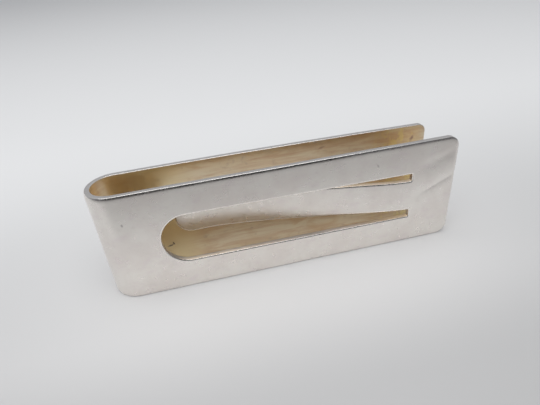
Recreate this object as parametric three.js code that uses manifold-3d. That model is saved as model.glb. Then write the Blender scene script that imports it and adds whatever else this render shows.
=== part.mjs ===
// A money clip, bent from one pierced strip of sterling silver sheet.
// It stands on its long edge: X runs from the fold to the open end, Y from the front leaf to the
// back leaf, Z up. Units are millimetres.
//
// The strip is one piece of metal. Its nodes are the stretches between the places where it flexes:
// the fold, where the two leaves spread, and three places along the spring tongue.

import * as THREE from 'three';
import { mergeVertices } from 'three/addons/utils/BufferGeometryUtils.js';
import Module from 'manifold-3d';

const wasm = await Module();
wasm.setup();

// The strip.
const stripWidth = 20;
const sheet = 1.0;
const frontLength = 62;
const backShortfall = 2.6; // how far the back leaf stops short of the front leaf's open end
const foldWidth = 8.8; // outside width across the fold
const mouthPinch = 0.95; // how far the back leaf's open end leans in
const backBow = 0.4; // outward bow of the back leaf at its middle
const frontCorner = 2.0;
const backCorner = 1.3;

// The window that frees the tongue from the front leaf.
const foldLand = 10; // solid metal from the outside of the fold to the window's round end
const endLand = 8.2; // solid metal from the window's square end to the open end
const windowWidth = 9.1;
const sideGap = 1.65; // saw gap between the tongue and the window, on each side
const tipGap = 2.4; // from the window's round end to the tongue's tip

// The tongue's sweep from the front leaf down to the back leaf.
const tipRest = 0.3; // clearance under the tip, which rests on the back leaf
const tipFlat = 5.5; // straight end of the tongue, parallel to the leaf
const rootEase = 4.7; // how long the sweep keeps the leaf's direction
const tipEase = 10.3; // how long before the tip it turns parallel again

// Flexing. Each lumped hinge sits where its stretch of metal would turn about.
const tongueFlexes = [0.156, 0.48, 0.78]; // shares of the tongue's length, from its root
const tongueTurn = 7.2; // largest turn at one flex of the tongue, in degrees
const leafSpread = 4; // largest turn of the back leaf about the fold, in degrees
const flexClearance = 0.12; // what is left open at a flex when it is fully turned

const curveSteps = 24;
const arcSteps = 14;
const beyond = 5; // how far a cutter reaches past the metal

// Values that follow from the sizes above.
const radians = THREE.MathUtils.degToRad;
const half = sheet / 2;
const foldRadius = foldWidth / 2;
const foldMiddleRadius = foldRadius - half;
const midHeight = stripWidth / 2;
const backEnd = frontLength - backShortfall;
const windowRoot = frontLength - endLand;
const tongueWidth = windowWidth - 2 * sideGap;
const tongueTip = foldLand + tipGap;
const tongueGap = flexClearance + half * Math.sin(radians(tongueTurn));
const foldPivot = foldRadius - (2 * foldMiddleRadius) / Math.PI; // the fold arc's centroid
const foldGap = flexClearance + foldPivot * Math.sin(radians(leafSpread));

const silver = { color: 0xb9b2ab, roughness: 0.34, metalness: 1 };
const tarnishedSilver = { color: 0xa58a5e, roughness: 0.42, metalness: 1 };

// Closed mesh to solid and back.
function toSolid(geometry) {
  geometry.deleteAttribute('normal');
  geometry.deleteAttribute('uv');
  const merged = mergeVertices(geometry, 1e-5);
  const vertProperties = new Float32Array(merged.attributes.position.array);
  const triVerts = new Uint32Array(merged.index.array);
  return new wasm.Manifold(new wasm.Mesh({ numProp: 3, vertProperties, triVerts }));
}

function toMesh(name, solid, finish) {
  const { vertProperties, triVerts } = solid.getMesh();
  const geometry = new THREE.BufferGeometry();
  geometry.setAttribute('position', new THREE.BufferAttribute(vertProperties, 3));
  geometry.setIndex(new THREE.BufferAttribute(triVerts, 1));
  geometry.computeVertexNormals();
  const mesh = new THREE.Mesh(geometry, new THREE.MeshStandardMaterial(finish));
  mesh.name = name;
  return mesh;
}

// A stretch of sheet standing on its edge: the curve is its centre line seen from above.
function ribbon(curve, from, to, steps) {
  const near = [];
  const far = [];
  for (let i = 0; i <= steps; i++) {
    const share = from + ((to - from) * i) / steps;
    const point = curve.getPointAt(share);
    const along = curve.getTangentAt(share);
    const across = new THREE.Vector2(-along.y, along.x).multiplyScalar(half);
    near.push(point.clone().sub(across));
    far.push(point.clone().add(across));
  }
  const outline = new THREE.Shape([...near, ...far.reverse()]);
  return toSolid(new THREE.ExtrudeGeometry(outline, { depth: stripWidth, bevelEnabled: false }));
}

// A cutter with its outline drawn in X and Z, reaching through both leaves along Y.
function through(outline) {
  const depth = foldWidth + 2 * beyond;
  const geometry = new THREE.ExtrudeGeometry(outline, {
    depth,
    bevelEnabled: false,
    curveSegments: arcSteps,
  });
  geometry.rotateX(Math.PI / 2);
  geometry.translate(0, depth - beyond, 0);
  return toSolid(geometry);
}

// Side outline of a leaf: square towards the fold, with rounded corners at its open end.
function leafOutline(openEnd, corner) {
  const outline = new THREE.Shape();
  outline.moveTo(-beyond, 0);
  outline.lineTo(openEnd - corner, 0);
  outline.absarc(openEnd - corner, corner, corner, -Math.PI / 2, 0, false);
  outline.absarc(openEnd - corner, stripWidth - corner, corner, 0, Math.PI / 2, false);
  outline.lineTo(-beyond, stripWidth);
  outline.closePath();
  return outline;
}

// A bar along X with one round end: the window, and inside it the tongue.
function roundEndedBar(roundEnd, squareEnd, width) {
  const radius = width / 2;
  const outline = new THREE.Shape();
  outline.moveTo(squareEnd, midHeight - radius);
  outline.lineTo(squareEnd, midHeight + radius);
  outline.absarc(roundEnd + radius, midHeight, radius, Math.PI / 2, (3 * Math.PI) / 2, false);
  outline.closePath();
  return outline;
}

// Centre line of the strip, from the front leaf's open end round the fold to the back leaf's end.
const backSpan = backEnd - foldRadius;
const bowTurn = Math.atan((4 * backBow) / backSpan);
const pinchTurn = Math.asin(mouthPinch / backSpan);
const backTurn = bowTurn - pinchTurn; // the back leaf's direction where it leaves the fold
const frontLine = new THREE.LineCurve(
  new THREE.Vector2(frontLength, half),
  new THREE.Vector2(foldRadius, half),
);
const foldArc = new THREE.EllipseCurve(
  foldRadius, foldRadius, foldMiddleRadius, foldMiddleRadius,
  -Math.PI / 2, Math.PI / 2 + backTurn, true,
);
const backStart = foldArc.getPoint(1);
const backHandle = new THREE.Vector2(Math.cos(backTurn), Math.sin(backTurn))
  .multiplyScalar(backSpan / 2)
  .add(backStart);
const backLine = new THREE.QuadraticBezierCurve(
  backStart,
  backHandle,
  new THREE.Vector2(backEnd, foldWidth - mouthPinch - half),
);

// Where the back leaf's centre line stands, across the clip, at a distance from the fold.
function backLeafAt(x) {
  const span = backLine.v2.x - backLine.v0.x;
  return backLine.getPoint((x - backLine.v0.x) / span).y;
}

// Centre line of the tongue: it leaves the front leaf's plane and ends beside the back leaf.
const tongueDrop = backLeafAt(tongueTip) - tipRest - sheet;
const flatStart = tongueTip + tipFlat;
const tongueLine = new THREE.CurvePath();
tongueLine.add(new THREE.CubicBezierCurve(
  new THREE.Vector2(windowRoot, half),
  new THREE.Vector2(windowRoot - rootEase, half),
  new THREE.Vector2(flatStart + tipEase, tongueDrop),
  new THREE.Vector2(flatStart, tongueDrop),
));
tongueLine.add(new THREE.LineCurve(
  new THREE.Vector2(flatStart, tongueDrop),
  new THREE.Vector2(tongueTip, tongueDrop),
));

function frontLeaf() {
  const window = through(roundEndedBar(foldLand, windowRoot, windowWidth));
  const leaf = ribbon(frontLine, 0, 1, 1)
    .intersect(through(leafOutline(frontLength, frontCorner)))
    .subtract(window);
  return toMesh('front_leaf', leaf, silver);
}

function backLeaf() {
  const leaf = ribbon(backLine, 0, 1, curveSteps)
    .intersect(through(leafOutline(backEnd, backCorner)));
  return toMesh('back_leaf', leaf, tarnishedSilver);
}

// The fold parts at its outermost line, where its two halves move against each other.
function foldHalves() {
  const middle = 0.5 / (1 - backTurn / Math.PI);
  const parting = foldGap / 2 / foldArc.getLength();
  return [
    toMesh('fold_front_half', ribbon(foldArc, 0, middle - parting, arcSteps), silver),
    toMesh('fold_back_half', ribbon(foldArc, middle + parting, 1, arcSteps), silver),
  ];
}

function tongueStretches() {
  const names = ['tongue_root', 'tongue_heel', 'tongue_arm', 'tongue_tip'];
  const outline = through(roundEndedBar(tongueTip, windowRoot, tongueWidth));
  const parting = tongueGap / 2 / tongueLine.getLength();
  return names.map((name, i) => {
    const from = i === 0 ? 0 : tongueFlexes[i - 1] + parting;
    const to = i === names.length - 1 ? 1 : tongueFlexes[i] - parting;
    const stretch = ribbon(tongueLine, from, to, curveSteps).intersect(outline);
    return toMesh(name, stretch, silver);
  });
}

const clip = new THREE.Group();
clip.name = 'money_clip';
clip.add(frontLeaf(), ...foldHalves(), backLeaf(), ...tongueStretches());

// The origin is the middle of the clip's footprint, on the surface that it stands on.
const bounds = new THREE.Box3().setFromObject(clip);
const middle = bounds.getCenter(new THREE.Vector3());
clip.position.set(-middle.x, -middle.y, -bounds.min.z);

// The lines that the stretches turn about, upright through these points of the finished part.
function pivot(x, y) {
  return new THREE.Vector3(x, y, midHeight).add(clip.position);
}
clip.userData.pivots = {
  leaf_spread: pivot(foldPivot, foldRadius),
  tongue: tongueFlexes.map((share) => {
    const point = tongueLine.getPointAt(share);
    return pivot(point.x, point.y);
  }),
};

export default clip;
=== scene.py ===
import math

import bpy
import numpy as np
from mathutils import Matrix, Vector, geometry


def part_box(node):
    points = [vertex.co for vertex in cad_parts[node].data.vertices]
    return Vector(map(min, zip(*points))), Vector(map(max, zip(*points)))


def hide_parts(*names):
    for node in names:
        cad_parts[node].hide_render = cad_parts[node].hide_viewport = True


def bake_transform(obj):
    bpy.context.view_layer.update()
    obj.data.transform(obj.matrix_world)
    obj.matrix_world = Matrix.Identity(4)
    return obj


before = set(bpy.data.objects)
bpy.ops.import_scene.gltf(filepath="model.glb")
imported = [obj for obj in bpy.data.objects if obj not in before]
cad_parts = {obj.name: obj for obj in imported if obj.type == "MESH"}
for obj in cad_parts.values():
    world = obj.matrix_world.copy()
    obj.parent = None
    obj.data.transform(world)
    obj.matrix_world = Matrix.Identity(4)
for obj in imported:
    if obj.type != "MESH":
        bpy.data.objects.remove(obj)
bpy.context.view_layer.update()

MM = 0.001

# ---------------------------------------------------------------------------
# Sizes, in millimetres. The clip stands on its long edge. In plan, x is 0 at the outside of the fold
# and y is 0 on the front leaf's outer face. The record's frame has its origin elsewhere.
# ---------------------------------------------------------------------------


def box_mm(node):
    """The corners of a CAD node's box, in millimetres of the record's frame."""
    low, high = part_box(node)
    return low / MM, high / MM


leaf_low, leaf_high = box_mm("front_leaf")
fold_low, fold_high = box_mm("fold_back_half")
_, back_high = box_mm("back_leaf")
root_low, root_high = box_mm("tongue_root")
tip_low, _ = box_mm("tongue_tip")

ORIGIN = np.array([fold_low.x, leaf_low.y, 0.0])
STRIP_WIDTH = leaf_high.z
SHEET = leaf_high.y - leaf_low.y
FRONT_END = leaf_high.x - fold_low.x
BACK_END = back_high.x - fold_low.x
FOLD_WIDTH = fold_high.y - leaf_low.y
WINDOW_ROOT = root_high.x - fold_low.x
TONGUE_TIP = tip_low.x - fold_low.x
TONGUE_WIDTH = root_high.z - root_low.z

MOUTH_PINCH = 0.95  # how far the back leaf's open end leans in
BACK_BOW = 0.4  # outward bow of the back leaf at its middle
FRONT_CORNER = 2.0
BACK_CORNER = 1.3
FOLD_LAND = 10.0  # solid metal from the outside of the fold to the window's round end
TIP_REST = 0.3  # clearance under the tongue's tip, which rests on the back leaf
TIP_FLAT = 5.5  # straight end of the tongue
ROOT_EASE = 4.7  # how long the tongue's sweep keeps the front leaf's direction
TIP_EASE = 10.3  # how long before its straight end it turns parallel again

# The window is sawn by hand, so its edges drift a little between the root and the round end.
WINDOW_LOW = (5.39, 5.62)
WINDOW_HIGH = (14.25, 14.72)
TONGUE_DRIFT = 0.16  # how far the tongue lies below the strip's middle
TONGUE_LOW = STRIP_WIDTH / 2 - TONGUE_WIDTH / 2 - TONGUE_DRIFT
TONGUE_HIGH = TONGUE_LOW + TONGUE_WIDTH
SAW_CORNER = 0.22

HALF = SHEET / 2
ARRIS = 0.06  # radius that is left on every edge
ROLLED_EDGE = (0.95, 0.21, 1.08)  # the strip's own edges: reach, drop and the face's margin
SAWN_EDGE = (0.36, 0.11, 0.9)  # the same round the window and the tongue
ROLL_SHARES = (1, 0.8, 0.62, 0.46, 0.32, 0.2, 0.1)  # where its profile has points, as shares of reach

# Creases in the land at the open end: two points in the pattern, width and depth.
CREASES = (
    ((5.8, 10.2), (0.2, 12.8), 0.6, 0.07),
    ((5.0, 15.6), (1.0, 17.2), 1.1, 0.06),
    ((2.2, 4.5), (1.4, 8.5), 1.2, 0.03),
)
# Waves left by the hammer: depth, turn per millimetre along the strip and up it, and phase.
WAVES = ((0.012, 0.55, 0.3, 0.0), (0.008, 0.23, -0.5, 1.0))

STUB = 1.4  # length of the tongue's root that is made with the strip
STUB_REACH = 3.0  # from the tongue's middle to just past its sides
SEAMS = (13.1, 26.2)  # along the tongue from its root, in the middle of its stiff stretches

# Where each bend of the tongue lies.
HEEL_BEND = (1.6, 11.4)  # along the tongue from its root
ARM_BEND = (14.6, 25.2)
TIP_BEND = (27.6, 38.0)

# Spacing of the mesh.
FACE_MARGIN = 0.9  # how far a face's grid keeps inside its outline
FACE_GRID = 0.7
FOLD_GRID = 0.33
FOLD_PAST = 1  # how far the fold's closer grid runs on at both ends
GRID_GAP = 0.3  # least distance from a grid point to an edge
EDGE_STEP = 0.45  # along the outlines
ARC_STEP = 0.3
CORNER_STEP = 0.22
CORNER_GAP = 0.2
SAW_STEP = 0.25
SAW_CORNER_STEP = 0.1
ARRIS_POINTS = 4
LEAF_POINTS = 400  # along the centre lines
BEND_POINTS = 600
FLAT_POINTS = 80
TOUCHING = 1e-6  # points that are closer than this are the same
BATCH = 200  # how many distances are worked out at once

# ---------------------------------------------------------------------------
# Centre lines
# ---------------------------------------------------------------------------


class Line:
    """A centre line in plan, followed by its length."""

    def __init__(self, points):
        self.points = np.array(points)
        steps = np.linalg.norm(np.diff(self.points, axis=0), axis=1)
        self.lengths = np.concatenate([[0], np.cumsum(steps)])
        self.length = self.lengths[-1]
        tangents = np.gradient(self.points, self.lengths, axis=0)
        self.tangents = tangents / np.linalg.norm(tangents, axis=1)[:, None]

    def at(self, s):
        """Points and outward normals at the lengths s."""
        point = np.stack([np.interp(s, self.lengths, self.points[:, i]) for i in (0, 1)], -1)
        along = np.stack([np.interp(s, self.lengths, self.tangents[:, i]) for i in (0, 1)], -1)
        along /= np.linalg.norm(along, axis=-1)[..., None]
        return point, np.stack([-along[..., 1], along[..., 0]], -1)


def bezier(handles, count):
    """Points along a Bezier curve of any order."""
    t = np.linspace(0, 1, count)[:, None]
    order = len(handles) - 1
    return sum(
        math.comb(order, i) * (1 - t) ** (order - i) * t**i * np.array(handle)
        for i, handle in enumerate(handles)
    )


def strip_line():
    """From the front leaf's open end, round the fold, to the back leaf's open end.
    Returns the whole line, and the points of its back leaf."""
    radius = FOLD_WIDTH / 2
    middle = radius - HALF
    span = BACK_END - radius
    turn = math.atan(4 * BACK_BOW / span) - math.asin(MOUTH_PINCH / span)
    front = np.linspace([FRONT_END, HALF], [radius, HALF], LEAF_POINTS)
    angles = np.linspace(-math.pi / 2, -3 * math.pi / 2 + turn, BEND_POINTS)
    fold = radius + middle * np.stack([np.cos(angles), np.sin(angles)], -1)
    start = fold[-1]
    handle = start + span / 2 * np.array([math.cos(turn), math.sin(turn)])
    back = bezier([start, handle, [BACK_END, FOLD_WIDTH - MOUTH_PINCH - HALF]], LEAF_POINTS)
    return Line(np.concatenate([front, fold[1:], back[1:]])), back


def tongue_line(back):
    """From the window's square end to the tongue's round end beside the back leaf."""
    drop = np.interp(TONGUE_TIP, back[:, 0], back[:, 1]) - TIP_REST - SHEET
    flat = TONGUE_TIP + TIP_FLAT
    sweep = bezier(
        [[WINDOW_ROOT, HALF], [WINDOW_ROOT - ROOT_EASE, HALF], [flat + TIP_EASE, drop], [flat, drop]],
        BEND_POINTS,
    )
    end = np.linspace([flat, drop], [TONGUE_TIP, drop], FLAT_POINTS)
    return Line(np.concatenate([sweep, end[1:]]))


STRIP, back_curve = strip_line()
TONGUE = tongue_line(back_curve)
FOLD_START = FRONT_END - FOLD_WIDTH / 2
FOLD_END = FOLD_START + (FOLD_WIDTH / 2 - HALF) * math.pi
ROOT = FRONT_END - WINDOW_ROOT

# ---------------------------------------------------------------------------
# Outlines in the flat pattern: s along the strip, z up. Metal is on the left of every chain.
# ---------------------------------------------------------------------------


def stations():
    """Where the pattern's grid lines cross the strip: close together in the fold."""
    start, end = FOLD_START - FOLD_PAST, FOLD_END + FOLD_PAST
    front = np.linspace(0, start, round(start / FACE_GRID) + 1)
    fold = np.linspace(start, end, round((end - start) / FOLD_GRID) + 1)
    back = np.linspace(end, STRIP.length, round((STRIP.length - end) / FACE_GRID) + 1)
    return np.concatenate([front, fold[1:], back[1:]])


def straight(start, end, step=EDGE_STEP):
    count = max(2, round(math.dist(start, end) / step) + 1)
    return np.linspace(start, end, count)


def arc(centre, radius, first, last, step=ARC_STEP):
    """Points round an arc, from one angle to another, in degrees."""
    sweep = math.radians(abs(last - first))
    count = max(4, round(sweep * radius / step) + 1)
    angles = np.radians(np.linspace(first, last, count))
    return np.array(centre) + radius * np.stack([np.cos(angles), np.sin(angles)], -1)


def chain(*stretches):
    """Stretches joined end to end, with each shared point kept once."""
    points = np.concatenate(stretches)
    apart = np.linalg.norm(np.diff(points, axis=0), axis=1) > TOUCHING
    return points[np.concatenate([[True], apart])]


def strip_edge():
    """The strip's own outline, as a closed chain."""
    columns = stations()
    length, width = STRIP.length, STRIP_WIDTH
    first, last = FRONT_CORNER + CORNER_GAP, length - BACK_CORNER - CORNER_GAP
    inner = columns[(columns > first) & (columns < last)]
    low = np.stack([inner, np.zeros(len(inner))], -1)
    high = np.stack([inner[::-1], np.full(len(inner), width)], -1)
    return chain(
        low,
        arc((length - BACK_CORNER, BACK_CORNER), BACK_CORNER, -90, 0, CORNER_STEP),
        straight((length, BACK_CORNER), (length, width - BACK_CORNER), FACE_GRID),
        arc((length - BACK_CORNER, width - BACK_CORNER), BACK_CORNER, 0, 90, CORNER_STEP),
        high,
        arc((FRONT_CORNER, width - FRONT_CORNER), FRONT_CORNER, 90, 180, CORNER_STEP),
        straight((0, width - FRONT_CORNER), (0, FRONT_CORNER), FACE_GRID),
        arc((FRONT_CORNER, FRONT_CORNER), FRONT_CORNER, 180, 270, CORNER_STEP),
    )


def window_edge():
    """The window round the tongue, as an open chain from one side of the tongue's stub to the other."""
    end = FRONT_END - FOLD_LAND
    radius = (WINDOW_HIGH[1] - WINDOW_LOW[1]) / 2
    centre = (end - radius, (WINDOW_HIGH[1] + WINDOW_LOW[1]) / 2)
    r = SAW_CORNER
    return chain(
        straight((ROOT + STUB, TONGUE_HIGH), (ROOT + r, TONGUE_HIGH), SAW_STEP),
        arc((ROOT + r, TONGUE_HIGH + r), r, 270, 180, SAW_CORNER_STEP),
        straight((ROOT, TONGUE_HIGH + r), (ROOT, WINDOW_HIGH[0] - r), SAW_STEP),
        arc((ROOT + r, WINDOW_HIGH[0] - r), r, 180, 90, SAW_CORNER_STEP),
        straight((ROOT + r, WINDOW_HIGH[0]), (centre[0], WINDOW_HIGH[1])),
        arc(centre, radius, 90, -90),
        straight((centre[0], WINDOW_LOW[1]), (ROOT + r, WINDOW_LOW[0])),
        arc((ROOT + r, WINDOW_LOW[0] + r), r, 270, 180, SAW_CORNER_STEP),
        straight((ROOT, WINDOW_LOW[0] + r), (ROOT, TONGUE_LOW - r), SAW_STEP),
        arc((ROOT + r, TONGUE_LOW - r), r, 180, 90, SAW_CORNER_STEP),
        straight((ROOT + r, TONGUE_LOW), (ROOT + STUB, TONGUE_LOW), SAW_STEP),
    )


def tongue_side(start, end, z):
    return straight((start, z), (end, z), FACE_GRID)


def tongue_end(start):
    """The tongue's last stretch with its round end, as one open chain."""
    radius = TONGUE_WIDTH / 2
    centre = (TONGUE.length - radius, (TONGUE_LOW + TONGUE_HIGH) / 2)
    return chain(
        straight((start, TONGUE_LOW), (centre[0], TONGUE_LOW), FACE_GRID),
        arc(centre, radius, -90, 90),
        straight((centre[0], TONGUE_HIGH), (start, TONGUE_HIGH), FACE_GRID),
    )


# ---------------------------------------------------------------------------
# Sheet metal: an outline with rounded edges, bent along a centre line
# ---------------------------------------------------------------------------


def edge_profile(reach, drop, margin):
    """(inset, height) round the sheet's edge, from its outer face to its inner face.
    Polishing has rolled the outer face off by a drop over its reach. Both arrises are only broken."""
    steepest = math.atan(3 * drop / reach)
    roll = [(reach * u, HALF - drop * (1 - u) ** 3) for u in ROLL_SHARES]
    start = ARRIS * (1 - math.sin(steepest))
    centre = HALF - drop * (1 - start / reach) ** 3 - ARRIS * math.cos(steepest)
    turns = np.linspace(steepest, math.pi / 2, ARRIS_POINTS)
    outer = [(margin, HALF)] + [point for point in roll if point[0] > 1.5 * start]
    outer += [(ARRIS * (1 - math.sin(a)), centre + ARRIS * math.cos(a)) for a in turns]
    turns = np.linspace(0, math.pi / 2, ARRIS_POINTS)
    inner = [(ARRIS * (1 - math.cos(a)), ARRIS * (1 - math.sin(a)) - HALF) for a in turns]
    return outer + [(0.0, 0.0)] + inner + [(margin, -HALF)]


def inward(points, closed):
    """Unit normals into the metal along a chain."""
    if closed:
        steps = np.roll(points, -1, axis=0) - points
        steps /= np.linalg.norm(steps, axis=1)[:, None]
        along = steps + np.roll(steps, 1, axis=0)
    else:
        steps = np.diff(points, axis=0)
        steps /= np.linalg.norm(steps, axis=1)[:, None]
        along = np.concatenate([steps[:1], steps[1:] + steps[:-1], steps[-1:]])
    along /= np.linalg.norm(along, axis=1)[:, None]
    return np.stack([-along[:, 1], along[:, 0]], -1)


def inside(points, loops):
    """Which points are within the metal, by the even-odd rule."""
    odd = np.zeros(len(points), bool)
    for loop in loops:
        a, b = loop, np.roll(loop, -1, axis=0)
        for (ax, ay), (bx, by) in zip(a, b):
            if ay != by:
                crosses = (ay > points[:, 1]) != (by > points[:, 1])
                at = (bx - ax) * (points[:, 1] - ay) / (by - ay) + ax
                odd ^= crosses & (points[:, 0] < at)
    return odd


def nearest(points, others):
    """Distance from each point to the nearest of the others."""
    best = np.full(len(points), np.inf)
    for start in range(0, len(others), BATCH):
        gap = points[:, None] - others[None, start : start + BATCH]
        best = np.minimum(best, np.linalg.norm(gap, axis=2).min(axis=1))
    return best


def add_object(name, data):
    made = bpy.data.objects.new(name, data)
    bpy.context.scene.collection.objects.link(made)
    return made


def mark(mesh, name, kind, field, values):
    """One value on each vertex, for the material to read."""
    attribute = mesh.attributes.new(name, kind, "POINT")
    attribute.data.foreach_set(field, values.astype(np.float32).ravel())


class Sheet:
    """Collects the vertices and faces of one closed piece of sheet. place bends its flat pattern, and
    start is where the pattern begins along the strip."""

    def __init__(self, place, start=0.0):
        self.place = place
        self.start = start
        self.flat = []
        self.inset = []
        self.sawn = []
        self.faces = []
        self.ends = []

    def add(self, points, height, inset, sawn=0.0):
        """New vertices at one height in the sheet and one distance from its edge."""
        first = len(self.flat)
        for s, z in points:
            self.flat.append((s, z, height))
            self.inset.append(inset)
            self.sawn.append(sawn)
        return list(range(first, len(self.flat)))

    def rim(self, points, closed):
        """The edge along a chain. Returns its rings, from the outer face to the inner face.
        A closed chain is the strip's own rounded edge, and an open one is sawn."""
        normals = inward(points, closed)
        profile = edge_profile(*(ROLLED_EDGE if closed else SAWN_EDGE))
        rings = [
            self.add(points + normals * inset, height, inset, 0.0 if closed else 1.0)
            for inset, height in profile
        ]
        count = len(points)
        for near, far in zip(rings, rings[1:]):
            for i in range(count if closed else count - 1):
                j = (i + 1) % count
                self.faces.append((near[i], near[j], far[j], far[i]))
        return rings

    def seam(self, rings, next_rings):
        """The flat end between two chains. Returns the vertices along it on the two faces."""
        edges = []
        for level, sign in ((0, 1), (-1, -1)):
            start = np.array(self.flat[rings[level][-1]][:2])
            end = np.array(self.flat[next_rings[level][0]][:2])
            between = straight(start, end, FACE_GRID)[1:-1]
            edges.append(self.add(between, sign * HALF, 2 * FACE_MARGIN))
        outer, inner = edges
        section = [ring[-1] for ring in rings] + inner
        section += [ring[0] for ring in reversed(next_rings)] + outer[::-1]
        self.ends.append(len(self.faces))
        self.faces.append(tuple(section[::-1]))
        return outer, inner

    def skin(self, loops, grid, outside):
        """One face of the sheet: loops of vertices, filled with a grid of further points."""
        rims = [np.array([self.flat[i][:2] for i in loop]) for loop in loops]
        edge = np.concatenate(rims)
        room = grid[inside(grid, rims)]
        room = room[nearest(room, edge) > GRID_GAP]
        sign = 1 if outside else -1
        own = self.add(room, sign * HALF, FACE_MARGIN)
        for i, depth in zip(own, nearest(room, edge) + FACE_MARGIN):
            self.inset[i] = depth
        index = [i for loop in loops for i in loop] + own
        borders, first = [], 0
        for loop in loops:
            count = len(loop)
            borders += [(first + i, first + (i + 1) % count) for i in range(count)]
            first += count
        points = [Vector(p) for p in np.concatenate([edge, room])]
        made = geometry.delaunay_2d_cdt(points, borders, [], 0, TOUCHING)
        middles = np.array([sum((made[0][i] for i in f), Vector((0, 0))) / 3 for f in made[2]])
        for face, kept in zip(made[2], inside(middles, rims)):
            if kept:
                corners = [index[made[3][i][0]] for i in face]
                self.faces.append(tuple(corners[::-1] if outside else corners))

    def build(self, name):
        """The bent piece, with its pattern, edge distance and sawn edges marked for the material."""
        flat = np.array(self.flat)
        mesh = bpy.data.meshes.new(name)
        mesh.from_pydata((self.place(flat) * MM).tolist(), [], self.faces)
        mesh.shade_smooth()
        ends = {key for i in self.ends for key in mesh.polygons[i].edge_keys}
        for edge in mesh.edges:
            edge.use_edge_sharp = edge.key in ends
        mark(mesh, "pattern", "FLOAT_VECTOR", "vector", flat + [self.start, 0, 0])
        mark(mesh, "edge_gap", "FLOAT", "value", np.array(self.inset))
        mark(mesh, "sawn", "FLOAT", "value", np.array(self.sawn))
        return add_object(name, mesh)


def crease(s, z, start, end, width, depth):
    """A shallow valley along a line in the pattern, fading out past both ends."""
    start, end = np.array(start), np.array(end)
    length = math.dist(start, end)
    way = (end - start) / length
    along = (s - start[0]) * way[0] + (z - start[1]) * way[1]
    across = (s - start[0]) * way[1] - (z - start[1]) * way[0]
    past = np.maximum(0, np.maximum(-along, along - length))
    return depth * np.exp(-((across / width) ** 2) - (past / (2 * width)) ** 2)


def hand_work(s, z):
    """How far the hammered and polished sheet dips below its true surface."""
    land = sum(crease(s, z, *line) for line in CREASES)
    waves = sum(
        depth * (1 + np.sin(along * s + up * z + phase)) for depth, along, up, phase in WAVES
    )
    return land + waves


def bend(line, flat, dip):
    """Bends the flat pattern along a centre line, in the record's frame, in millimetres."""
    s, z, height = flat.T
    point, normal = line.at(s)
    place = point + normal * (height - dip)[:, None]
    return np.column_stack([place, z]) + ORIGIN


def place_strip(flat):
    """Follows the strip, apart from the tongue's stub, which follows the tongue."""
    s, z, _ = flat.T
    dip = hand_work(s, z)
    placed = bend(STRIP, flat, dip)
    beside = abs(z - (TONGUE_LOW + TONGUE_HIGH) / 2) < STUB_REACH
    on_stub = beside & (s > ROOT) & (s < ROOT + STUB + TOUCHING)
    stub = flat[on_stub].copy()
    stub[:, 0] -= ROOT
    placed[on_stub] = bend(TONGUE, stub, dip[on_stub])
    return placed


def place_tongue(flat):
    s, z, _ = flat.T
    return bend(TONGUE, flat, hand_work(s + ROOT, z))


def columns_between(start, end):
    """Grid columns that keep one step away from a seam at each end."""
    return np.linspace(start, end, round((end - start) / FACE_GRID) + 1)[1:-1]


def grid_over(columns, low, high):
    """Points on every column, in even rows from low to high."""
    rows = np.linspace(low, high, round((high - low) / FACE_GRID) + 1)
    s, z = np.meshgrid(columns, rows, indexing="ij")
    return np.stack([s.ravel(), z.ravel()], -1)


def make_strip():
    """Front leaf, fold and back leaf, in one piece with the tongue's stub."""
    sheet = Sheet(place_strip)
    edge = sheet.rim(strip_edge(), True)
    window = sheet.rim(window_edge(), False)
    outer, inner = sheet.seam(window, window)
    grid = grid_over(stations(), FACE_MARGIN, STRIP_WIDTH - FACE_MARGIN)
    sheet.skin([edge[0], window[0] + outer], grid, True)
    sheet.skin([edge[-1], window[-1] + inner], grid, False)
    return sheet.build("silver_strip")


def make_tongue_stretch(name, start, end):
    """A stretch of the tongue between two seams."""
    sheet = Sheet(place_tongue, ROOT)
    low = sheet.rim(tongue_side(start, end, TONGUE_LOW), False)
    high = sheet.rim(tongue_side(end, start, TONGUE_HIGH), False)
    far = sheet.seam(low, high)
    near = sheet.seam(high, low)
    columns = columns_between(start, end)
    grid = grid_over(columns, TONGUE_LOW + FACE_MARGIN, TONGUE_HIGH - FACE_MARGIN)
    for level in (0, 1):
        k = -level
        sheet.skin([low[k] + far[level] + high[k] + near[level]], grid, level == 0)
    return sheet.build(name)


def make_tongue_tip(name, start):
    """The last stretch of the tongue, from a seam to its round end."""
    sheet = Sheet(place_tongue, ROOT)
    rim = sheet.rim(tongue_end(start), False)
    seam = sheet.seam(rim, rim)
    columns = columns_between(start, TONGUE.length)
    grid = grid_over(columns, TONGUE_LOW + FACE_MARGIN, TONGUE_HIGH - FACE_MARGIN)
    for level in (0, 1):
        sheet.skin([rim[-level] + seam[level]], grid, level == 0)
    return sheet.build(name)


# ---------------------------------------------------------------------------
# Materials. The pattern gives them s, z and the height in the sheet, all in millimetres.
# ---------------------------------------------------------------------------

# The outside, polished and worn.
BRIGHT_SILVER = (0.885, 0.85, 0.80, 1)
WARM_SILVER = (0.84, 0.79, 0.745, 1)
PINK_FILM = (0.80, 0.72, 0.72, 1)
GREY_FILM = (0.70, 0.65, 0.61, 1)
RUBBED_SILVER = (0.90, 0.875, 0.85, 1)
PIT_GREY = (0.36, 0.32, 0.32, 1)
NICK_GREY = (0.42, 0.38, 0.38, 1)

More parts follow.
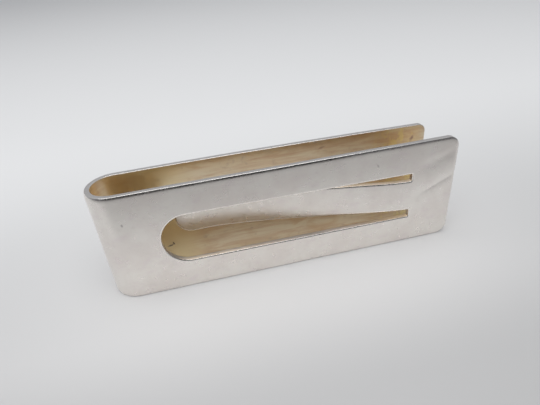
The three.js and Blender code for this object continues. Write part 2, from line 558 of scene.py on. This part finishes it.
# The tarnish inside.
STRAW = (0.93, 0.82, 0.62, 1)
BROWN = (0.79, 0.61, 0.42, 1)
DEEP_BROWN = (0.74, 0.53, 0.31, 1)
VIOLET_BROWN = (0.42, 0.30, 0.27, 1)
FOLD_GOLD = (0.97, 0.80, 0.50, 1)
LEAF_GOLD = (1.0, 0.86, 0.56, 1)
END_YELLOW = (0.98, 0.86, 0.44, 1)
WALL_BROWN = (0.46, 0.33, 0.28, 1)
SOOT = (0.13, 0.11, 0.11, 1)
SMEAR_BROWN = (0.42, 0.26, 0.20, 1)
BRUISE_VIOLET = (0.40, 0.25, 0.25, 1)

# Where one finish gives way to the next: heights in the sheet, and distances from an edge.
INNER_FACE = (-0.3, -0.49)
BELOW_RIM = (0.4, 0.3)
INNER_RIM = (0.0, 0.1)
WALL = (ARRIS, 0.0)
RIM = (0.35, 0.05)
RUBBED_EDGE = (0.25, 0.0)

# Noises all over the metal: scale, detail and roughness.
CLOUDS = (0.16, 4.0, 0.55)
HAZE = (0.8, 5.0, 0.55)
GRAIN = (5.0, 3.0, 0.6)

# Stretches of the inside, along the strip: start, full strength, still at full strength, end.
FOLD_STRETCH = (66.0, 68.5, 75.8, 77.5)
GOLD_STRETCH = (70.0, 74.5, 77.0, 84.0)
MOTTLED_END = (114.0, 119.0)

# Single marks: place in the pattern, length, width, turn and softness.
PIT = ((57.1, 14.9, HALF), 0.22, 0.36)
NICK = ((14.8, 17.1, HALF), 0.2, 0.5, 30)
FLECK = ((75.9, 3.8, -HALF), 0.75, 0.2, -12)
HOOK = ((76.5, 4.2, -HALF), 0.2, 0.45, -20)
SMEAR = ((105.3, 18.5, -HALF), 1.1, 0.3, -14, 1.0)
BRUISE = ((122.4, 17.6, -HALF), 0.45, 0.8, 25, 0.9)

# Fine scratches: turn, length, width, rarity and a shift of the noise that makes them.
SCRATCHES = (
    (4, 9.0, 0.10, 0.15, (3, 1, 0)),
    (62, 6.0, 0.08, 0.19, (11, 5, 0)),
    (-28, 5.0, 0.09, 0.19, (23, 9, 0)),
)
# Sharper lines within the two longest creases: two points in the pattern, and half the width.
FOLDED_LINE = ((0.2, 12.8), (5.8, 10.2), 0.55)
PRESSED_LINE = ((1.0, 17.2), (4.4, 15.8), 1.1)

FACE_ROUGHNESS = (0.27, 0.34)
RIM_ROUGHNESS = (0.12, 0.26)
INSIDE_ROUGHNESS = (0.33, 0.46)
SAWN_ROUGHNESS = 0.42
SCRATCH_ROUGHNESS = 0.1
WAVE_BUMP = 0.00003  # in metres
FINE_BUMP = 0.000005


class Nodes:
    """Short words for building a node tree."""

    def __init__(self, tree):
        self.tree = tree
        tree.nodes.clear()

    def add(self, kind, inputs=(), **settings):
        """A node, with a number, colour or link for each named input."""
        node = self.tree.nodes.new(kind)
        for key, value in settings.items():
            setattr(node, key, value)
        for key, value in dict(inputs).items():
            self.feed(node.inputs[key], value)
        return node

    def feed(self, socket, value):
        if isinstance(value, bpy.types.NodeSocket):
            self.tree.links.new(value, socket)
        else:
            socket.default_value = value

    def attribute(self, name, output="Fac"):
        return self.add("ShaderNodeAttribute", attribute_name=name).outputs[output]

    def part(self, vector, axis):
        """One coordinate of a vector."""
        return self.add("ShaderNodeSeparateXYZ", {"Vector": vector}).outputs[axis]

    def math(self, operation, a, b=0.0):
        node = self.add("ShaderNodeMath", operation=operation)
        self.feed(node.inputs[0], a)
        self.feed(node.inputs[1], b)
        return node.outputs[0]

    def times(self, a, b):
        return self.math("MULTIPLY", a, b)

    def scaled(self, vector, scale, turn=0.0, shift=(0, 0, 0)):
        node = self.add("ShaderNodeMapping", {"Vector": vector, "Scale": scale})
        node.inputs["Rotation"].default_value = (0, 0, math.radians(turn))
        node.inputs["Location"].default_value = shift
        return node.outputs[0]

    def noise(self, vector, scale, detail=2.0, rough=0.5, distortion=0.0):
        inputs = {"Vector": vector, "Scale": scale, "Detail": detail}
        inputs.update({"Roughness": rough, "Distortion": distortion})
        return self.add("ShaderNodeTexNoise", inputs).outputs[0]

    def span(self, value, low, high, start=0.0, end=1.0):
        """value from low..high onto start..end, smoothly and clamped."""
        inputs = {"Value": value, "From Min": low, "From Max": high, "To Min": start, "To Max": end}
        return self.add("ShaderNodeMapRange", inputs, interpolation_type="SMOOTHSTEP").outputs[0]

    def between(self, value, start, full, still, end):
        """1 from full to still, and down to 0 at start and end."""
        return self.times(self.span(value, start, full), self.span(value, end, still))

    def mix(self, share, a, b):
        """Two colours, by the share of the second."""
        node = self.add("ShaderNodeMix", data_type="RGBA")
        self.feed(node.inputs[0], share)
        self.feed(node.inputs[6], a)
        self.feed(node.inputs[7], b)
        return node.outputs[2]

    def stain(self, base, mask, strength, colour):
        """A colour over the base within a mask, at a strength up to 1."""
        return self.mix(self.times(mask, strength), base, colour)

    def blend(self, share, a, b):
        """Two numbers, by the share of the second."""
        node = self.add("ShaderNodeMix", data_type="FLOAT")
        self.feed(node.inputs[0], share)
        self.feed(node.inputs[2], a)
        self.feed(node.inputs[3], b)
        return node.outputs[0]


def new_material(name):
    """A material, and the words for building its nodes."""
    material = bpy.data.materials.new(name)
    material.use_nodes = True
    return material, Nodes(material.node_tree)


def scratches(nodes, pattern, turn, length, width, rarity, shift):
    """Thin straight marks, at an angle to the strip: 1 on a mark and 0 between."""
    stretched = nodes.scaled(pattern, (1 / length, 1 / width, 1.0), turn, shift)
    fine = nodes.noise(stretched, 1.0, 2.0, 0.5)
    return nodes.span(fine, 0.5 + rarity, 0.58 + rarity)


def spot(nodes, pattern, centre, length, width, turn=0.0, soft=0.6):
    """1 within a small ragged mark at a place in the pattern, 0 outside it."""
    moved = nodes.add("ShaderNodeVectorMath", {0: pattern, 1: centre}, operation="SUBTRACT")
    turned = nodes.scaled(moved.outputs[0], (1, 1, 1), turn)
    sized = nodes.scaled(turned, (1 / length, 1 / width, 1.0))
    away = nodes.add("ShaderNodeVectorMath", {0: sized}, operation="LENGTH").outputs["Value"]
    ragged = nodes.times(nodes.noise(sized, 1.7, 3.0, 0.6), 1.2)
    return nodes.span(nodes.math("ADD", away, ragged), 1.6, 1.6 - soft)


def dent_line(nodes, pattern, start, end, width):
    """1 along a line in the pattern, fading out across it and past both ends."""
    turn = math.degrees(math.atan2(end[1] - start[1], end[0] - start[0]))
    length = math.dist(start, end)
    moved = nodes.add("ShaderNodeVectorMath", {0: pattern, 1: (*start, 0)}, operation="SUBTRACT")
    turned = nodes.scaled(moved.outputs[0], (1, 1, 1), -turn)
    across = nodes.span(nodes.math("ABSOLUTE", nodes.part(turned, "Y")), width, 0)
    first = nodes.span(nodes.part(turned, "X"), -width, width)
    last = nodes.span(nodes.part(turned, "X"), length + width, length - width)
    return nodes.times(across, nodes.times(first, last))


def silver_colour(nodes, pattern, gap, clouds, haze):
    """The outside: polished and then worn, with a faint warm film and bright rubbed edges."""
    film = nodes.mix(nodes.span(clouds, 0.35, 0.65), BRIGHT_SILVER, WARM_SILVER)
    blush = nodes.noise(nodes.scaled(pattern, (0.6, 1.0, 1.0), 20, (7, 3, 0)), 0.7, 4.0, 0.6)
    film = nodes.mix(nodes.span(blush, 0.48, 0.75, 0, 0.45), film, PINK_FILM)
    film = nodes.mix(nodes.span(haze, 0.55, 0.85, 0, 0.35), film, GREY_FILM)
    film = nodes.stain(film, spot(nodes, pattern, *PIT), 0.6, PIT_GREY)
    film = nodes.stain(film, spot(nodes, pattern, *NICK), 0.45, NICK_GREY)
    rubbed = nodes.times(nodes.span(gap, *RUBBED_EDGE), nodes.span(haze, 0.3, 0.6, 0.4, 1.0))
    return nodes.mix(rubbed, film, RUBBED_SILVER)


def tarnish_colour(nodes, pattern, haze):
    """The inside, where polish never reaches: straw to golden brown, in streaks along the strip."""
    streaks = nodes.noise(nodes.scaled(pattern, (0.10, 0.85, 1.0), 2), 1.0, 4.0, 0.6, 0.6)
    patches = nodes.noise(nodes.scaled(pattern, (0.5, 1.0, 1.0), 12), 0.30, 3.0, 0.5, 0.8)
    straw = nodes.mix(nodes.span(streaks, 0.36, 0.66), STRAW, BROWN)
    straw = nodes.mix(nodes.span(patches, 0.5, 0.72, 0, 0.6), straw, DEEP_BROWN)
    straw = nodes.mix(nodes.span(haze, 0.58, 0.85, 0, 0.45), straw, VIOLET_BROWN)
    s = nodes.part(pattern, "X")
    straw = nodes.stain(straw, nodes.between(s, *FOLD_STRETCH), 0.7, FOLD_GOLD)
    straw = nodes.stain(straw, nodes.between(s, *GOLD_STRETCH), 0.95, LEAF_GOLD)
    mottled = nodes.noise(nodes.scaled(pattern, (1.0, 0.6, 1.0), 20, (4, 9, 0)), 0.9, 3.0, 0.5)
    mottled = nodes.times(nodes.span(mottled, 0.5, 0.6), nodes.span(s, *MOTTLED_END))
    straw = nodes.stain(straw, mottled, 0.6, END_YELLOW)
    fleck = nodes.math("MAXIMUM", spot(nodes, pattern, *FLECK), spot(nodes, pattern, *HOOK))
    straw = nodes.stain(straw, fleck, 0.85, SOOT)
    straw = nodes.stain(straw, spot(nodes, pattern, *SMEAR), 0.6, SMEAR_BROWN)
    return nodes.stain(straw, spot(nodes, pattern, *BRUISE), 0.75, BRUISE_VIOLET)


def relief(nodes, pattern, clouds, filed_rim, marks):
    """The normal: soft waves and creases in the sheet, with scratches, grain and file marks on them."""
    grain = nodes.noise(pattern, *GRAIN)
    folded = dent_line(nodes, pattern, *FOLDED_LINE)
    pressed = dent_line(nodes, pattern, *PRESSED_LINE)
    dents = nodes.math("ADD", folded, nodes.times(pressed, 0.8))
    height = nodes.math("SUBTRACT", clouds, nodes.times(dents, 0.8))
    wave = nodes.add("ShaderNodeBump", {"Strength": 1.0, "Distance": WAVE_BUMP, "Height": height})
    fine = nodes.math("SUBTRACT", nodes.times(grain, 0.25), marks)
    fine = nodes.math("ADD", fine, nodes.times(filed_rim, 3.0))
    inputs = {"Strength": 0.5, "Distance": FINE_BUMP, "Height": fine, "Normal": wave.outputs[0]}
    return nodes.add("ShaderNodeBump", inputs).outputs[0]


def silver_material():
    """Sterling silver: polished outside and worn to a soft satin, golden brown with tarnish inside."""
    material, nodes = new_material("worn_silver")
    pattern = nodes.attribute("pattern", "Vector")
    gap = nodes.attribute("edge_gap")
    depth = nodes.part(pattern, "Z")
    face = nodes.times(nodes.span(depth, *INNER_FACE), nodes.span(gap, *INNER_RIM))
    wall = nodes.times(nodes.span(gap, *WALL), nodes.span(depth, *BELOW_RIM))
    wall = nodes.times(wall, nodes.attribute("sawn"))
    within = nodes.math("MAXIMUM", face, nodes.times(wall, 0.2))
    rim = nodes.span(gap, *RIM)

    clouds = nodes.noise(pattern, *CLOUDS)
    haze = nodes.noise(pattern, *HAZE)
    filed = nodes.noise(nodes.scaled(pattern, (2.6, 2.6, 0.6), 0, (5, 2, 1)), 1.0, 4.0, 0.7)
    along, slanted, crossed = (scratches(nodes, pattern, *kind) for kind in SCRATCHES)
    marks = nodes.math("MAXIMUM", nodes.math("MAXIMUM", along, slanted), crossed)

    outside = silver_colour(nodes, pattern, gap, clouds, haze)
    inside_colour = nodes.stain(tarnish_colour(nodes, pattern, haze), wall, 0.3, WALL_BROWN)
    colour = nodes.mix(within, outside, inside_colour)

    satin = nodes.span(haze, 0.3, 0.75, *FACE_ROUGHNESS)
    satin = nodes.blend(rim, satin, nodes.span(filed, 0.35, 0.7, *RIM_ROUGHNESS))
    satin = nodes.math("ADD", satin, nodes.times(marks, SCRATCH_ROUGHNESS))
    dull = nodes.span(haze, 0.3, 0.75, *INSIDE_ROUGHNESS)
    rough = nodes.blend(within, nodes.blend(wall, satin, SAWN_ROUGHNESS), dull)

    normal = relief(nodes, pattern, clouds, nodes.times(filed, rim), marks)
    shader = nodes.add(
        "ShaderNodeBsdfPrincipled",
        {"Base Color": colour, "Metallic": 1.0, "Roughness": rough, "Normal": normal},
    )
    nodes.add("ShaderNodeOutputMaterial", {"Surface": shader.outputs[0]})
    return material


# ---------------------------------------------------------------------------
# The pieces
# ---------------------------------------------------------------------------


def at_plan(x, y):
    """A point of the record's frame, in metres, halfway up the strip."""
    return tuple((ORIGIN + np.array([x, y, STRIP_WIDTH / 2])) * MM)


def tongue_x(length):
    """Where the tongue is, in plan, at a length from its root."""
    return float(TONGUE.at(length)[0][0])


silver = silver_material()

strip = make_strip()
strip.data.materials.append(silver)
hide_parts("front_leaf", "fold_front_half", "fold_back_half", "back_leaf")
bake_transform(strip)

# Name, start and end along the tongue, the bodies at both ends, and the stretch of their bend.
tongue_plan = (
    ("tongue_heel_stretch", STUB, SEAMS[0], "front_body", "tongue_heel_body", HEEL_BEND),
    ("tongue_arm_stretch", SEAMS[0], SEAMS[1], "tongue_heel_body", "tongue_arm_body", ARM_BEND),
    ("tongue_tip_stretch", SEAMS[1], None, "tongue_arm_body", "tongue_tip_body", TIP_BEND),
)
stands_for = (("tongue_root", "tongue_heel"), ("tongue_arm",), ("tongue_tip",))
for (name, start, end, before, after, zone), nodes_replaced in zip(tongue_plan, stands_for):
    piece = make_tongue_stretch(name, start, end) if end else make_tongue_tip(name, start)
    piece.data.materials.append(silver)
    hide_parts(*nodes_replaced)
    at_plan(tongue_x(zone[0]), 0)
    at_plan(tongue_x(zone[1]), 0)
    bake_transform(piece)

# ---------------------------------------------------------------------------
# Floor, light and camera, in metres
# ---------------------------------------------------------------------------

CAMERA_PLACE = Vector((-12.91, -62.07, 51.09)) * MM
CAMERA_YAW = -10.138
CAMERA_DIP = 32.321  # below level
CAMERA_ROLL = -5.372
CAMERA_LENS = 28.22  # lens and sensor are in millimetres
CAMERA_SENSOR = 36
CAMERA_NEAR = 0.005

LIGHT_PLACE = (-0.07, -0.16, 0.50)
LIGHT_SIZE = 0.7
LIGHT_POWER = 2.75

ROOM_FRONT = (0.16, 0.16, 0.17, 1)
ROOM_BACK = (0.60, 0.61, 0.63, 1)
ROOM_TOP = (0.95, 0.96, 1.0, 1)
ROOM_TURN = (-0.9, 0.6)  # from the front to the back, along Y
ROOM_RISE = (0.35, 0.95)  # from the walls to the top, along Z
ROOM_STRENGTH = 0.62

FLOOR_REACH = 1.2
FLOOR_TONES = ((0.62, 0.618, 0.616, 1), (0.65, 0.647, 0.645, 1))
# Painted shadow of the camera on the floor in front of the clip.
FLOOR_PAINTED_SHADOW_TONE = (0.49, 0.49, 0.49, 1)
FLOOR_PAINTED_SHADOW_SPAN = (-0.012, -0.032)  # where the floor in front of the clip turns to that tone, a painted shadow of the camera
FLOOR_FAR_PAINTED_SHADE_TONES = ((0.38, 0.382, 0.380, 1), (0.74, 0.745, 0.745, 1))
FLOOR_FAR_PAINTED_SHADE_SPAN = (-0.06, 0.07)  # where those two painted shade tones lie, from front to back: darker far in front, paler far behind
FLOOR_NEAR_TO_FAR = (0.01, 0.065)  # distance from the middle over which the painted light falloff sets in
FLOOR_ROUGHNESS = 0.85
FLOOR_CLOUDS = (9.0, 3.0, 0.5)
FLOOR_SCALE = (0.8, 1.0, 1.0)  # the middle is a little wider than it is deep
FLOOR_SHIFT = (0.004, 0.014, 0.0)

BLACK_CARD = 0.03
BLACK_CARD_SIDES = ((-0.06, 0.06), (-0.035, 0.035), 0.004)  # in the camera's own frame
# A grey card on the floor, seen only in reflections: a painted shadow of the camera.
PAINTED_SHADE_GREYS = (0.62, 0.36)
PAINTED_SHADE_SPAN = (-0.018, -0.036)  # where its painted shade deepens, towards the camera
PAINTED_SHADE_SIDES = ((-0.12, 0.12), (-0.14, -0.014), 0.0002)


def flat_card(name, x, y, height, material):
    """A level rectangle. x and y are its (low, high) sides."""
    mesh = bpy.data.meshes.new(name)
    corners = [(x[0], y[0], height), (x[1], y[0], height), (x[1], y[1], height), (x[0], y[1], height)]
    mesh.from_pydata(corners, [], [(0, 1, 2, 3)])
    mesh.materials.append(material)
    return add_object(name, mesh)


def floor_material():
    """Matt white card, faintly uneven. A painted shadow of the camera makes it greyer in front of the
    clip, and painted light falloff makes it paler far behind it and darker far in front.
    """
    material, nodes = new_material("white_card")
    place = nodes.add("ShaderNodeTexCoord").outputs["Object"]
    clouds = nodes.noise(place, *FLOOR_CLOUDS)
    middle = nodes.scaled(place, FLOOR_SCALE, 0, FLOOR_SHIFT)
    away = nodes.add("ShaderNodeVectorMath", {0: middle}, operation="LENGTH").outputs["Value"]
    y = nodes.part(place, "Y")
    tone = nodes.mix(clouds, *FLOOR_TONES)
    # painted shadow: the floor turns a darker grey in front of the clip, below the camera
    tone = nodes.mix(nodes.span(y, *FLOOR_PAINTED_SHADOW_SPAN), tone, FLOOR_PAINTED_SHADOW_TONE)
    # painted light falloff: far from the clip the floor is painted darker in front and paler behind
    far = nodes.mix(nodes.span(y, *FLOOR_FAR_PAINTED_SHADE_SPAN), *FLOOR_FAR_PAINTED_SHADE_TONES)
    tone = nodes.mix(nodes.span(away, *FLOOR_NEAR_TO_FAR), tone, far)
    shader = nodes.add("ShaderNodeBsdfPrincipled", {"Base Color": tone, "Roughness": FLOOR_ROUGHNESS})
    nodes.add("ShaderNodeOutputMaterial", {"Surface": shader.outputs[0]})
    return material


def make_floor():
    sides = (-FLOOR_REACH, FLOOR_REACH)
    floor = flat_card("floor", sides, sides, 0, floor_material())


def make_light():
    """One large soft light above and in front of the clip, aimed at the origin."""
    data = bpy.data.lights.new("ceiling_light", "AREA")
    data.shape = "DISK"
    data.size = LIGHT_SIZE
    data.energy = LIGHT_POWER
    light = add_object("ceiling_light", data)
    light.location = LIGHT_PLACE
    light.rotation_euler = (-Vector(LIGHT_PLACE)).to_track_quat("-Z", "Y").to_euler()


def make_world():
    """A plain room: bright overhead, pale behind the clip, and dim on the camera's side."""
    world = bpy.data.worlds.new("room")
    bpy.context.scene.world = world
    world.use_nodes = True
    nodes = Nodes(world.node_tree)
    way = nodes.add("ShaderNodeTexCoord").outputs["Generated"]
    behind = nodes.span(nodes.part(way, "Y"), *ROOM_TURN)
    up = nodes.span(nodes.part(way, "Z"), *ROOM_RISE)
    tone = nodes.mix(up, nodes.mix(behind, ROOM_FRONT, ROOM_BACK), ROOM_TOP)
    light = nodes.add("ShaderNodeBackground", {"Color": tone, "Strength": ROOM_STRENGTH})
    nodes.add("ShaderNodeOutputWorld", {"Surface": light.outputs[0]})


def camera_frame():
    """Where the camera stands and how it is turned."""
    yaw, pitch, roll = (math.radians(a) for a in (CAMERA_YAW, 90 - CAMERA_DIP, CAMERA_ROLL))
    turned = Matrix.Rotation(yaw, 4, "Z") @ Matrix.Rotation(pitch, 4, "X") @ Matrix.Rotation(roll, 4, "Z")
    return Matrix.Translation(CAMERA_PLACE) @ turned


def flag_material(name, greys, span):
    """Matt card, from one grey to another between two places along its own Y."""
    material, nodes = new_material(name)
    place = nodes.add("ShaderNodeTexCoord").outputs["Object"]
    y = nodes.part(place, "Y")
    tone = nodes.mix(nodes.span(y, *span), *((grey, grey, grey, 1) for grey in greys))
    card = nodes.add("ShaderNodeBsdfDiffuse", {"Color": tone})
    nodes.add("ShaderNodeOutputMaterial", {"Surface": card.outputs[0]})
    return material


def make_flag(name, sides, material):
    """A card that shows only as a reflection in the metal."""
    flag = flat_card(name, *sides, material)
    flag.visible_camera = False
    flag.visible_diffuse = False
    flag.visible_shadow = False
    return flag


def make_flags():
    """A black card round the camera, and a grey one on the floor below it: a painted shadow of the
    camera, seen only in the metal's reflections.
    """
    black = flag_material("black_card", (BLACK_CARD, BLACK_CARD), (0.0, 1.0))
    make_flag("camera_flag", BLACK_CARD_SIDES, black).matrix_world = camera_frame()
    grey = flag_material("painted_shade_card", PAINTED_SHADE_GREYS, PAINTED_SHADE_SPAN)
    make_flag("painted_shadow_flag", PAINTED_SHADE_SIDES, grey)


def make_camera():
    data = bpy.data.cameras.new("camera")
    data.lens = CAMERA_LENS
    data.sensor_width = CAMERA_SENSOR
    data.clip_start = CAMERA_NEAR
    camera = add_object("camera", data)
    camera.matrix_world = camera_frame()
    bpy.context.scene.camera = camera


make_floor()
make_world()
make_light()
make_flags()
make_camera()
bpy.context.scene.view_settings.view_transform = "Standard"
